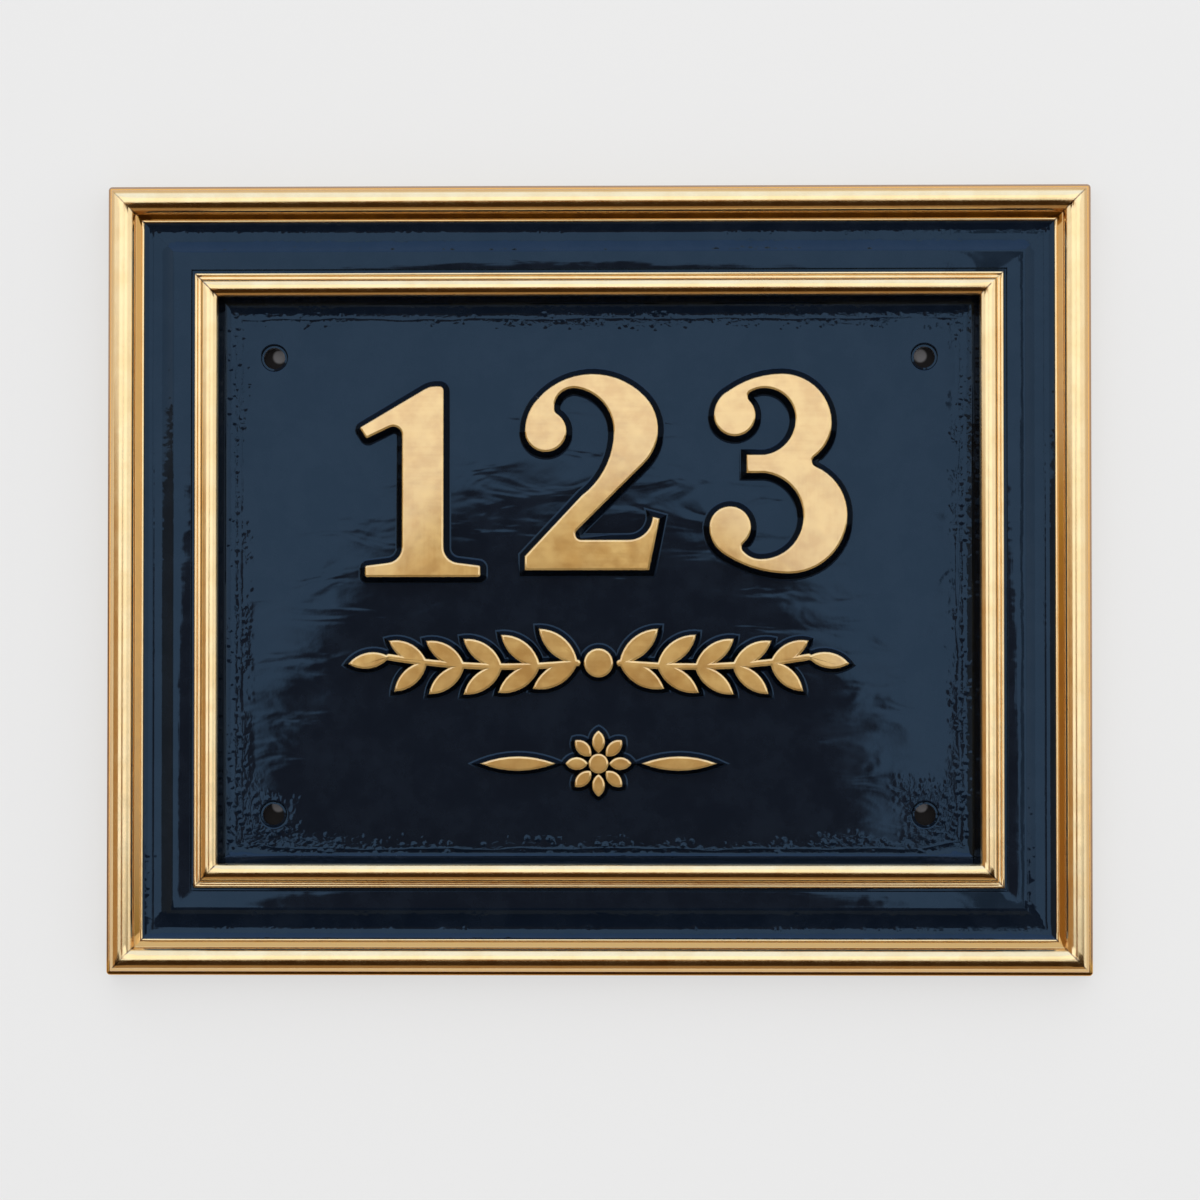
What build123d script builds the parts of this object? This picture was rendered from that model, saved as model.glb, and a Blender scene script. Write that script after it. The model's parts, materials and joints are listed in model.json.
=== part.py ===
from build123d import *
from math import radians, tan
import os

# House number plaque: one casting with a moulded border round a sunk panel, raised figures,
# a raised laurel and rosette below them, and a hole near each corner of the panel.
# It is drawn face up (front towards +Z) and stood on its lower edge at the end: front towards -Y,
# back on the XZ plane, origin at the middle of the back.

# Overall sizes
WIDTH = 254.0
HEIGHT = 204.0
CORNER_RADIUS = 1.3
PANEL_THICKNESS = 5.0

# Outer moulding: drafted side, shoulder, half round, sloped fascia and thin bead
SIDE_DRAFT = 0.35
SHOULDER_HEIGHT = 8.8
SHOULDER_RADIUS = 0.6
SHOULDER_WIDTH = 1.3
OUTER_ROUND_WIDTH = 6.2
OUTER_ROUND_RISE = 0.7
FASCIA_WIDTH = 1.5
FASCIA_DROP = 1.0
OUTER_BEAD_WIDTH = 0.7
CASTING_DEPTH = SHOULDER_HEIGHT + OUTER_ROUND_RISE + OUTER_ROUND_WIDTH / 2

# Enamelled channel: hollow, cove, raised band that falls away inwards, and quirk
CHANNEL_FLOOR = 7.35
HOLLOW_WIDTH = 2.8
COVE_WIDTH = 4.8
BAND_RISE = 1.65
BAND_WIDTH = 2.1
BAND_FALL_WIDTH = 2.5
BAND_FALL = 0.6
QUIRK_WIDTH = 0.9

# Inner moulding: thin bead, groove, half round, then the drafted wall down to the panel
INNER_RISE = 0.3
INNER_BEAD_WIDTH = 0.9
INNER_GROOVE_WIDTH = 0.6
INNER_GROOVE_DEPTH = 0.4
INNER_ROUND_WIDTH = 4.9
WALL_DRAFT = 22.0
WALL_FILLET = 1.6

# Recess behind the border, which keeps the casting even
RIM_WIDTH = 6.0
CASTING_WALL = 4.0
RECESS_DRAFT_WIDTH = 0.8
RECESS_FILLET = 0.8

# Fixing holes
HOLE_DIAMETER = 5.5
HOLE_CHAMFER = 0.5
HOLE_INSET = 10.5
HOLE_DROP = 1.5

# Raised work
FIGURE_RELIEF = 3.2
ORNAMENT_RELIEF = 2.4
RELIEF_DRAFT = 27.0

# Figures: height, and the lower left corner of each
FIGURE_HEIGHT = 50.3
ONE_PLACE = (-60.0, 0.9)
TWO_PLACE = (-18.8, 2.6)
THREE_PLACE = (28.7, 2.6)

# Weights that the figures share, at any height
HAIRLINE = 3.4
STEM_WIDTH = 10.4
BALL_RADIUS = 5.2
BALL_NOTCH_ANGLE = 65.0

# Laurel: two sprigs that meet at a boss
LAUREL_CENTRE_Y = -21.4
SPRIG_START = 5.5
SPRIG_LENGTH = 48.5
SPRIG_RISE = 1.5
SPRIG_SAG = 1.6
SPRIG_STEM_WIDTH = 1.4
LEAF_LENGTH = 13.0
LEAF_WIDTH = 4.8
LEAF_ANGLE = 36.0
LEAF_PAIRS = 5
LEAF_TIP_SCALE = 0.8
BOSS_RADIUS = 3.6

# Rosette with a swelled rule at each side
ROSETTE_CENTRE_Y = -47.3
PETAL_COUNT = 8
PETAL_START = 2.9
PETAL_LENGTH = 5.4
PETAL_WIDTH = 3.0
BUTTON_RADIUS = 2.4
RULE_START = 11.5
RULE_LENGTH = 18.5
RULE_WIDTH = 3.4


def half_round(start, width):
    """Return the arc of a half round that springs from start, and its far end."""
    radius = width / 2
    crown = (start[0] + radius, start[1] + radius)
    end = (start[0] + width, start[1])
    return ThreePointArc(start, crown, end), end


def border_section():
    """Return the border's section and its width: X runs inwards from the edge, Y towards the front."""
    side_top = (SIDE_DRAFT, SHOULDER_HEIGHT - SHOULDER_RADIUS)
    shoulder_start = (SIDE_DRAFT + SHOULDER_RADIUS, SHOULDER_HEIGHT)
    shoulder_end = (SHOULDER_WIDTH, SHOULDER_HEIGHT)
    outer_spring = (SHOULDER_WIDTH, SHOULDER_HEIGHT + OUTER_ROUND_RISE)
    side = Line((0, 0), side_top)
    shoulder_arc = RadiusArc(side_top, shoulder_start, SHOULDER_RADIUS)
    shoulder = Polyline(shoulder_start, shoulder_end, outer_spring)

    outer_round, outer_end = half_round(outer_spring, OUTER_ROUND_WIDTH)
    bead_spring = (outer_end[0] + FASCIA_WIDTH, outer_end[1] - FASCIA_DROP)
    fascia = Line(outer_end, bead_spring)
    outer_bead, bead_end = half_round(bead_spring, OUTER_BEAD_WIDTH)

    cove_start = (bead_end[0] + HOLLOW_WIDTH, CHANNEL_FLOOR)
    cove_end = (cove_start[0] + COVE_WIDTH, CHANNEL_FLOOR + BAND_RISE)
    band_end = (cove_end[0] + BAND_WIDTH, cove_end[1])
    fall_end = (band_end[0] + BAND_FALL_WIDTH, band_end[1] - BAND_FALL)
    quirk_end = (fall_end[0] + QUIRK_WIDTH, fall_end[1])
    inner_spring = (quirk_end[0], band_end[1] + INNER_RISE)
    hollow = TangentArc(cove_start, bead_end, tangent=(-1, 0))
    cove = TangentArc(cove_start, cove_end, tangent=(1, 0))
    band = Polyline(cove_end, band_end, fall_end, quirk_end, inner_spring)

    inner_bead, groove_start = half_round(inner_spring, INNER_BEAD_WIDTH)
    groove_floor = groove_start[1] - INNER_GROOVE_DEPTH
    inner_round_start = (groove_start[0] + INNER_GROOVE_WIDTH, groove_start[1])
    groove = Polyline(
        groove_start,
        (groove_start[0], groove_floor),
        (inner_round_start[0], groove_floor),
        inner_round_start,
    )
    inner_round, wall_top = half_round(inner_round_start, INNER_ROUND_WIDTH)
    wall_drop = wall_top[1] - PANEL_THICKNESS
    wall_foot = (wall_top[0] + wall_drop * tan(radians(WALL_DRAFT)), PANEL_THICKNESS)
    border_width = wall_foot[0] + WALL_FILLET
    panel_edge = (border_width, PANEL_THICKNESS)
    wall = FilletPolyline(wall_top, wall_foot, panel_edge, radius=WALL_FILLET)

    recess_top = CHANNEL_FLOOR - CASTING_WALL
    recess_end = wall_top[0]
    panel_back = Polyline(panel_edge, (border_width, 0), (recess_end, 0))
    recess = FilletPolyline(
        (recess_end, 0),
        (recess_end - RECESS_DRAFT_WIDTH, recess_top),
        (RIM_WIDTH + RECESS_DRAFT_WIDTH, recess_top),
        (RIM_WIDTH, 0),
        radius=min(RECESS_FILLET, recess_top / 2),
    )
    rim = Line((RIM_WIDTH, 0), (0, 0))

    front = [side, shoulder_arc, shoulder, outer_round, fascia, outer_bead, hollow, cove, band]
    inner = [inner_bead, groove, inner_round, wall]
    return make_face(Curve() + front + inner + [panel_back, recess, rim]), border_width


def border_member(section, border_width, run, across):
    """Return one mitred length of border, its outer edge at Y = -across / 2."""
    plane = Plane(origin=(0, -across / 2, 0), x_dir=(0, 1, 0), z_dir=(1, 0, 0))
    straight = extrude(plane * section, amount=run / 2, both=True)
    mitre = make_face(
        Polyline(
            (-run / 2, -across / 2),
            (run / 2, -across / 2),
            (run / 2 - border_width, -across / 2 + border_width),
            (-run / 2 + border_width, -across / 2 + border_width),
            close=True,
        )
    )
    return straight & extrude(mitre, amount=CASTING_DEPTH)


def blank_casting(section, border_width):
    """Return the plaque with its border and panel, before the raised work and the holes."""
    bottom = border_member(section, border_width, WIDTH, HEIGHT)
    left = Rot(0, 0, -90) * border_member(section, border_width, HEIGHT, WIDTH)
    panel = extrude(
        Rectangle(WIDTH - 2 * border_width, HEIGHT - 2 * border_width), amount=PANEL_THICKNESS
    )
    turned = Rot(0, 0, 180)
    casting = panel + [bottom, left, turned * bottom, turned * left]
    return casting & extrude(RectangleRounded(WIDTH, HEIGHT, CORNER_RADIUS), amount=CASTING_DEPTH)


def drilled(casting, border_width):
    """Return the casting with its fixing holes, chamfered at the front."""
    inset = 2 * (border_width + HOLE_INSET)
    places = GridLocations(WIDTH - inset, HEIGHT - inset, 2, 2)
    radius = HOLE_DIAMETER / 2
    casting -= [Pos(0, -HOLE_DROP) * place * Cylinder(radius, 2 * CASTING_DEPTH) for place in places]
    circles = casting.edges().filter_by(GeomType.CIRCLE)
    rims = circles.filter_by(lambda edge: edge.is_closed and edge.center().Z > PANEL_THICKNESS / 2)
    return chamfer(rims, HOLE_CHAMFER)


def raised(face, relief):
    """Return a face of raised work with drafted sides that spread down to the panel."""
    foot = offset(face, amount=relief * tan(radians(RELIEF_DRAFT)), kind=Kind.INTERSECTION)
    return Pos(0, 0, PANEL_THICKNESS) * extrude(foot, amount=relief, taper=RELIEF_DRAFT)


def figure_one(unit):
    """Return the outline of the figure 1: a stem with a flag and a bracketed foot."""
    stem_width = STEM_WIDTH / unit
    foot_width = 29.4
    foot_edge = 2.6
    foot_root = 3.8
    stem_left = (foot_width - stem_width) / 2
    stem_right = stem_left + stem_width
    stem_top = 48.9
    corner = 0.4
    corners = {
        (0, 0): corner,
        (foot_width, 0): corner,
        (foot_width, foot_edge): corner,
        (stem_right, foot_root): 4.2,
        (stem_right, stem_top): 1.0,
        (stem_right - HAIRLINE / unit, stem_top): 5.0,
        (-1.4, 38.3): corner,
        (0.2, 35.8): corner,
        (stem_left, 40.2): 2.4,
        (stem_left, foot_root): 4.2,
        (0, foot_edge): corner,
    }
    return make_face(FilletPolyline(*corners, radius=list(corners.values()), close=True))


def ball_end(centre, radius, side):
    """Return the round of a ball terminal, from the notch inside the stroke to the ball's left side."""
    return CenterArc(centre, radius, side * BALL_NOTCH_ANGLE, -side * (180 + BALL_NOTCH_ANGLE))


def figure_two(top, unit):
    """Return the outline of the figure 2: a ball and bowl that run into a diagonal and a hooked foot."""
    hairline = HAIRLINE / unit
    ball_radius = BALL_RADIUS / unit
    left_shoulder = (3.4, 44.1)
    right_shoulder = (30.6, 44.6)
    bowl_foot = (30.4, 27.4)
    eye_right = (22.9, 35.6)
    eye_top = (13.4, top - hairline)
    inner_diagonal = (14.5, 18.9)
    foot_top = 7.5
    hook_start = (26.6, foot_top)
    hook_tip = (32.9, 13.4)
    ball = ball_end((ball_radius, 35.7), ball_radius, 1)
    crown = ThreePointArc(left_shoulder, (17.4, top), right_shoulder)
    bowl = TangentArc(right_shoulder, bowl_foot, tangent=crown % 1)
    eye = TangentArc(eye_right, eye_top, tangent=(0, 1))
    outline = Curve() + [
        ball,
        TangentArc(ball @ 1, left_shoulder, tangent=(0, 1)),
        crown,
        bowl,
        Polyline(bowl_foot, (10.4, foot_top), hook_start),
        TangentArc(hook_start, hook_tip, tangent=(1, 0)),
        Polyline(hook_tip, (34.4, 13.0), (31.7, 0), (0, 0), (0, hairline), inner_diagonal),
        TangentArc(eye_right, inner_diagonal, tangent=(0, -1)),
        eye,
        TangentArc(eye_top, ball @ 0, tangent=eye % 1),
    ]
    return make_face(outline)


def figure_three(top, unit):
    """Return the outline of the figure 3: two bowls that meet at a bar, with a ball at each end."""
    hairline = HAIRLINE / unit
    ball_radius = BALL_RADIUS / unit
    crown = (18.6, top)
    upper_shoulder = (5.0, 46.0)
    upper_right = (31.2, 37.7)
    waist = (22.8, 27.4)
    lower_right = (35.2, 14.0)
    bottom = (20.3, -0.9)
    lower_shoulder = (4.0, 3.9)
    eye_top = (14.0, top - hairline)
    eye_right = (22.2, 38.7)
    bar_right = 14.2
    bar_left = 9.6
    bar_top = 29.4
    bar_bottom = 25.0
    hollow_right = (24.2, 13.6)
    hollow_bottom = (13.1, bottom[1] + hairline)
    upper_ball = ball_end((ball_radius + 1.2, 39.7), ball_radius, 1)
    lower_ball = ball_end((ball_radius, 10.9), ball_radius, -1)
    eye = TangentArc(eye_right, eye_top, tangent=(0, 1))
    hollow = TangentArc(hollow_right, hollow_bottom, tangent=(0, -1))
    outline = Curve() + [
        upper_ball,
        TangentArc(upper_ball @ 1, upper_shoulder, tangent=(0, 1)),
        TangentArc(crown, upper_shoulder, tangent=(-1, 0)),
        TangentArc(crown, upper_right, tangent=(1, 0)),
        TangentArc(upper_right, waist, tangent=(0, -1)),
        TangentArc(lower_right, waist, tangent=(0, 1)),
        TangentArc(lower_right, bottom, tangent=(0, -1)),
        TangentArc(bottom, lower_shoulder, tangent=(-1, 0)),
        TangentArc(lower_ball @ 1, lower_shoulder, tangent=(0, -1)),
        lower_ball,
        TangentArc(hollow_bottom, lower_ball @ 0, tangent=hollow % 1),
        hollow,
        TangentArc(hollow_right, (bar_right, bar_bottom), tangent=(0, 1)),
        Polyline((bar_right, bar_bottom), (bar_left, bar_bottom), (bar_left, bar_top), (bar_right, bar_top)),
        TangentArc(eye_right, (bar_right, bar_top), tangent=(0, -1)),
        eye,
        TangentArc(eye_top, upper_ball @ 0, tangent=eye % 1),
    ]
    return make_face(outline)


def leaf_face(length, width):
    """Return a pointed leaf that starts at the origin and runs along +X."""
    upper = ThreePointArc((0, 0), (length / 2, width / 2), (length, 0))
    lower = ThreePointArc((length, 0), (length / 2, -width / 2), (0, 0))
    return make_face(Curve() + [upper, lower])


def sprig():
    """Return the outlines of the right-hand sprig: a bowed stem, pairs of leaves and a leaf at the tip."""
    start = (SPRIG_START, LAUREL_CENTRE_Y)
    end = (SPRIG_START + SPRIG_LENGTH, LAUREL_CENTRE_Y + SPRIG_RISE)
    middle = (SPRIG_START + SPRIG_LENGTH / 2, LAUREL_CENTRE_Y + SPRIG_RISE / 2 - SPRIG_SAG)
    stem = ThreePointArc(start, middle, end)
    outlines = [SlotArc(stem, SPRIG_STEM_WIDTH)]
    for pair in range(LEAF_PAIRS + 1):
        along = pair / LEAF_PAIRS
        size = 1 - (1 - LEAF_TIP_SCALE) * along
        leaf = leaf_face(LEAF_LENGTH * size, LEAF_WIDTH * size)
        root = stem @ along
        heading = Vector(1, 0).get_signed_angle(stem % along)
        angles = [0] if pair == LEAF_PAIRS else [LEAF_ANGLE, -LEAF_ANGLE]
        outlines += [Pos(root) * Rot(0, 0, heading + angle) * leaf for angle in angles]
    return outlines


def laurel():
    """Return the outlines of the two sprigs and the boss between them."""
    right = sprig()
    left = [mirror(outline, about=Plane.YZ) for outline in right]
    return right + left + [Pos(0, LAUREL_CENTRE_Y) * Circle(BOSS_RADIUS)]


def rosette():
    """Return the outlines of the rosette and the swelled rule at each side of it."""
    petal = Pos(PETAL_START, 0) * leaf_face(PETAL_LENGTH, PETAL_WIDTH)
    petals = [Rot(0, 0, 360 / PETAL_COUNT * turn) * petal for turn in range(PETAL_COUNT)]
    rule = Pos(RULE_START, 0) * leaf_face(RULE_LENGTH, RULE_WIDTH)
    outlines = petals + [Circle(BUTTON_RADIUS), rule, mirror(rule, about=Plane.YZ)]
    return [Pos(0, ROSETTE_CENTRE_Y) * outline for outline in outlines]


def raised_work():
    """Return every raised figure and ornament, as drafted solids that stand on the panel."""
    drawn_height = 50.3
    unit = FIGURE_HEIGHT / drawn_height
    figures = {
        ONE_PLACE: figure_one(unit),
        TWO_PLACE: figure_two(drawn_height, unit),
        THREE_PLACE: figure_three(drawn_height, unit),
    }
    work = [raised(face, ORNAMENT_RELIEF) for face in laurel() + rosette()]
    work += [raised(Pos(*place) * scale(face, by=unit), FIGURE_RELIEF) for place, face in figures.items()]
    return work


if __name__ == "__main__":
    os.makedirs("parts", exist_ok=True)
    border, border_span = border_section()
    plaque = drilled(blank_casting(border, border_span), border_span) + raised_work()
    export_step(Rot(90, 0, 0) * plaque, "parts/plaque.step")
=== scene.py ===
"""House number plaque: the dressed casting, and the studio that it is shown in.

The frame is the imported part's: X runs along the width, Z up the height and the front faces -Y, with the
back on the wall plane. Blender works in metres, and the sizes of the casting are written in millimetres.
"""

import json
import logging
import math
from contextlib import contextmanager
from dataclasses import dataclass, field, replace
from enum import Enum, IntEnum
from typing import Callable, Iterator, NamedTuple

import bmesh
import bpy
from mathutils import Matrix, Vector, kdtree, noise

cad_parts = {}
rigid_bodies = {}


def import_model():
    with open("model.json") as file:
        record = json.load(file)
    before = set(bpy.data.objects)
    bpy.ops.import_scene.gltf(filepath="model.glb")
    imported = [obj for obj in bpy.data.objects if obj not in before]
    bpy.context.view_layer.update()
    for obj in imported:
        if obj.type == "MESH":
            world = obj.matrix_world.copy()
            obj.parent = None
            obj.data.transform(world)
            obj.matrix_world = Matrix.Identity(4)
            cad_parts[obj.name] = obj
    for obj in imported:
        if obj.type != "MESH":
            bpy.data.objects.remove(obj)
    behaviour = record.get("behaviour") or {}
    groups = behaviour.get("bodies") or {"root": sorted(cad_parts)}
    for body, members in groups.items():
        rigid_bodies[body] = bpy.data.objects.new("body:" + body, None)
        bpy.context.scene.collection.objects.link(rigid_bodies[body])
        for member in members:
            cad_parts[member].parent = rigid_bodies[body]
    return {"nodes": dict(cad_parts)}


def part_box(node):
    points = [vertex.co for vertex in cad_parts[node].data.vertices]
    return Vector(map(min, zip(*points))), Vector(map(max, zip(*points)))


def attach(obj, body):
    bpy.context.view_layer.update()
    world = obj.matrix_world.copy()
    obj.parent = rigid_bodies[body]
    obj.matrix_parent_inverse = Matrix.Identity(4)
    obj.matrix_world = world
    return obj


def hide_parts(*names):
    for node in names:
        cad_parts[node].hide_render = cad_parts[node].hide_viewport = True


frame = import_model()

LOG = logging.getLogger("plaque")
MM = 0.001
NODE = "plaque"
BODY = "root"
LEVEL_GAP = 0.02 * MM
UPRIGHT_TURN = (math.pi / 2, 0, 0)

Colour = tuple[float, float, float]
Point = tuple[float, float]
Place = tuple[float, float, float]
Socket = bpy.types.NodeSocket


class Zone(IntEnum):
    """Places on the casting that take a finish of their own, in the order of its material slots."""

    ENAMEL = 0
    # Painted shade: the steep walls inside the border take a darker enamel.
    RECESS = 1
    GILT_BORDER = 2
    GILT_RELIEF = 3
    BACK = 4
    BORE = 5


class Pick(Enum):
    """What a selection in edit mode is made of."""

    EDGES = "EDGE"
    FACES = "FACE"


def select_only(*pieces: bpy.types.Object) -> None:
    """Select some pieces and nothing else, with the first of them active."""
    for other in bpy.context.view_layer.objects:
        other.select_set(False)
    for piece in pieces:
        piece.select_set(True)
    bpy.context.view_layer.objects.active = pieces[0]


def add_plane(
    name: str, size: float, place: Place = (0, 0, 0), turn: Place = (0, 0, 0)
) -> bpy.types.Object:
    """Add a plane, with nothing else selected.

    Args:
        name: What it is called.
        size: The length of its sides.
        place: Where its middle is.
        turn: How it is turned.

    Returns:
        The plane.
    """
    bpy.ops.object.select_all(action="DESELECT")
    bpy.ops.mesh.primitive_plane_add(size=size, location=place, rotation=turn)
    bpy.context.object.name = name
    return bpy.context.object


@contextmanager
def editing(piece: bpy.types.Object) -> Iterator[None]:
    """Open one piece in edit mode, alone in the selection.

    Args:
        piece: The mesh object to edit.
    """
    select_only(piece)
    bpy.ops.object.mode_set(mode="EDIT")
    try:
        yield
    finally:
        bpy.ops.object.mode_set(mode="OBJECT")


def pick(piece: bpy.types.Object, kind: Pick, test: Callable[..., bool]) -> int:
    """Select the parts of a piece in edit mode that pass a test, and nothing else.

    Args:
        piece: The piece that is open in edit mode.
        kind: Whether edges or faces are selected.
        test: Takes one edge or face and says whether it is selected.

    Returns:
        How many were selected.
    """
    bpy.ops.mesh.select_mode(type=kind.value)
    bpy.ops.mesh.select_all(action="DESELECT")
    mesh = bmesh.from_edit_mesh(piece.data)
    chosen = [part for part in (mesh.edges if kind is Pick.EDGES else mesh.faces) if test(part)]
    for part in chosen:
        part.select_set(True)
    bmesh.update_edit_mesh(piece.data, loop_triangles=False, destructive=False)
    return len(chosen)


def arc(centre: Point, radius: float, start: float, end: float, steps: int) -> list[Point]:
    """Return the points of an arc after its first one, as some chords between two angles in degrees."""
    turns = [math.radians(start + (end - start) * step / steps) for step in range(1, steps + 1)]
    return [(centre[0] + radius * math.cos(turn), centre[1] + radius * math.sin(turn)) for turn in turns]


class Whereabouts(NamedTuple):
    """Sockets that say where a place lies on the plaque's front, in metres."""

    inset: Socket
    from_corner: Socket
    from_mitre: Socket
    run: Socket
    up: Socket
    upright: Socket


class Graph:
    """The node tree of a material or the world, with short ways to add nodes and join them."""

    def __init__(self, owner: bpy.types.ID, output: str) -> None:
        """Clear the owner's tree and give it an output.

        Args:
            owner: The material or world.
            output: The type of its output node, without the leading ShaderNode.
        """
        owner.use_nodes = True
        self.owner = owner
        self.tree = owner.node_tree
        self.tree.nodes.clear()
        self.output = self.tree.nodes.new("ShaderNode" + output)

    @classmethod
    def material(cls, name: str) -> "Graph":
        """Return the empty tree of a new material."""
        return cls(bpy.data.materials.new(name), "OutputMaterial")

    def add(self, kind: str, inputs: dict, **settings: object) -> bpy.types.Node:
        """Add a node, with its settings and its inputs.

        Args:
            kind: The node's type, without the leading ShaderNode.
            inputs: A value or another node's socket for each named or numbered input.
            settings: The node's own properties.

        Returns:
            The new node.
        """
        node = self.tree.nodes.new("ShaderNode" + kind)
        for name, value in settings.items():
            setattr(node, name, value)
        for name, value in inputs.items():
            if isinstance(value, Socket):
                self.tree.links.new(value, node.inputs[name])
            else:
                node.inputs[name].default_value = value
        return node

    def place(self) -> Socket:
        """Return the piece's own coordinates, in metres."""
        return self.add("TexCoord", {}).outputs["Object"]

    def math(self, operation: str, *values: object) -> Socket:
        """Return one sum worked out from sockets and numbers."""
        return self.add("Math", dict(enumerate(values)), operation=operation).outputs[0]

    def product(self, *values: object) -> Socket:
        """Return several sockets and numbers multiplied together."""
        total = values[0]
        for value in values[1:]:
            total = self.math("MULTIPLY", total, value)
        return total

    def whereabouts(self, half_width: float, half_height: float) -> Whereabouts:
        """Return where a place lies on the plaque's front.

        Args:
            half_width: Half the plaque's width.
            half_height: Half its height.

        Returns:
            How far it lies inside the outline, from a corner of the outline and from a mitre, coordinates
            that run along and across the border's members, its height, and 1 on the upright members.
        """
        across, _, up = self.add("SeparateXYZ", {0: self.place()}).outputs
        side = self.math("SUBTRACT", half_width, self.math("ABSOLUTE", across))
        end = self.math("SUBTRACT", half_height, self.math("ABSOLUTE", up))
        inset = self.math("MINIMUM", side, end)
        upright = self.math("LESS_THAN", side, end)
        along = self.add("Mix", {0: upright, 2: across, 3: up}).outputs[0]
        member = self.math("SIGN", self.add("Mix", {0: upright, 2: up, 3: across}).outputs[0])
        run = self.add("CombineXYZ", {0: along, 1: inset, 2: member}).outputs[0]
        from_mitre = self.math("ABSOLUTE", self.math("SUBTRACT", side, end))
        return Whereabouts(inset, self.math("MAXIMUM", side, end), from_mitre, run, up, upright)

    def noise(
        self, vector: Socket, size: float, detail: float = 2.0, roughness: float = 0.5, warp: float = 0.0
    ) -> Socket:
        """Return soft noise from 0 to 1, whose largest features have a size in metres."""
        inputs = {"Vector": vector, "Scale": 1 / size, "Detail": detail, "Roughness": roughness}
        return self.add("TexNoise", {**inputs, "Distortion": warp}).outputs["Fac"]

    def spots(self, vector: Socket, size: float) -> Socket:
        """Return the distance to the nearest of scattered points, which lie about a size apart."""
        return self.add("TexVoronoi", {"Vector": vector, "Scale": 1 / size}).outputs["Distance"]

    def remap(
        self, value: Socket, low: float, high: float, to_low: float = 0.0, to_high: float = 1.0
    ) -> Socket:
        """Return a value moved from the range low to high to another range, with soft ends."""
        inputs = {"Value": value, 1: low, 2: high, 3: to_low, 4: to_high}
        return self.add("MapRange", inputs, interpolation_type="SMOOTHSTEP").outputs[0]

    def between(self, value: Socket, start: Point, end: Point) -> Socket:
        """Return 1 between two places, with a soft start and a soft end."""
        return self.product(self.remap(value, *start), self.remap(value, *end))

    def blend(self, share: Socket, first: object, second: object) -> Socket:
        """Return two colours mixed by a share.

        Args:
            share: 0 for the first colour, 1 for the second.
            first: A colour, or a socket that gives one.
            second: A colour, or a socket that gives one.

        Returns:
            The mixed colour.
        """
        node = self.add("Mix", {0: share}, data_type="RGBA")
        for index, colour in ((6, first), (7, second)):
            if isinstance(colour, Socket):
                self.tree.links.new(colour, node.inputs[index])
            else:
                node.inputs[index].default_value = (*colour, 1)
        return node.outputs[2]

    def stretch(self, vector: Socket, scale: Place) -> Socket:
        """Return coordinates with each axis scaled."""
        return self.add("Mapping", {"Vector": vector, "Scale": scale}).outputs[0]

    def bump(self, height: Socket, distance: float, normal: Socket | None = None) -> Socket:
        """Return a normal that a height has moved.

        Args:
            height: The height, from 0 to 1.
            distance: How far 1 stands over 0, in metres.
            normal: The normal to start from, where it isn't the surface's own.

        Returns:
            The new normal.
        """
        inputs = {"Height": height, "Distance": distance}
        if normal is not None:
            inputs["Normal"] = normal
        return self.add("Bump", inputs).outputs[0]

    def close(self, shader: bpy.types.Node) -> bpy.types.ID:
        """Join a shader to the output, and return the material or world."""
        self.tree.links.new(shader.outputs[0], self.output.inputs["Surface"])
        return self.owner


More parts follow.
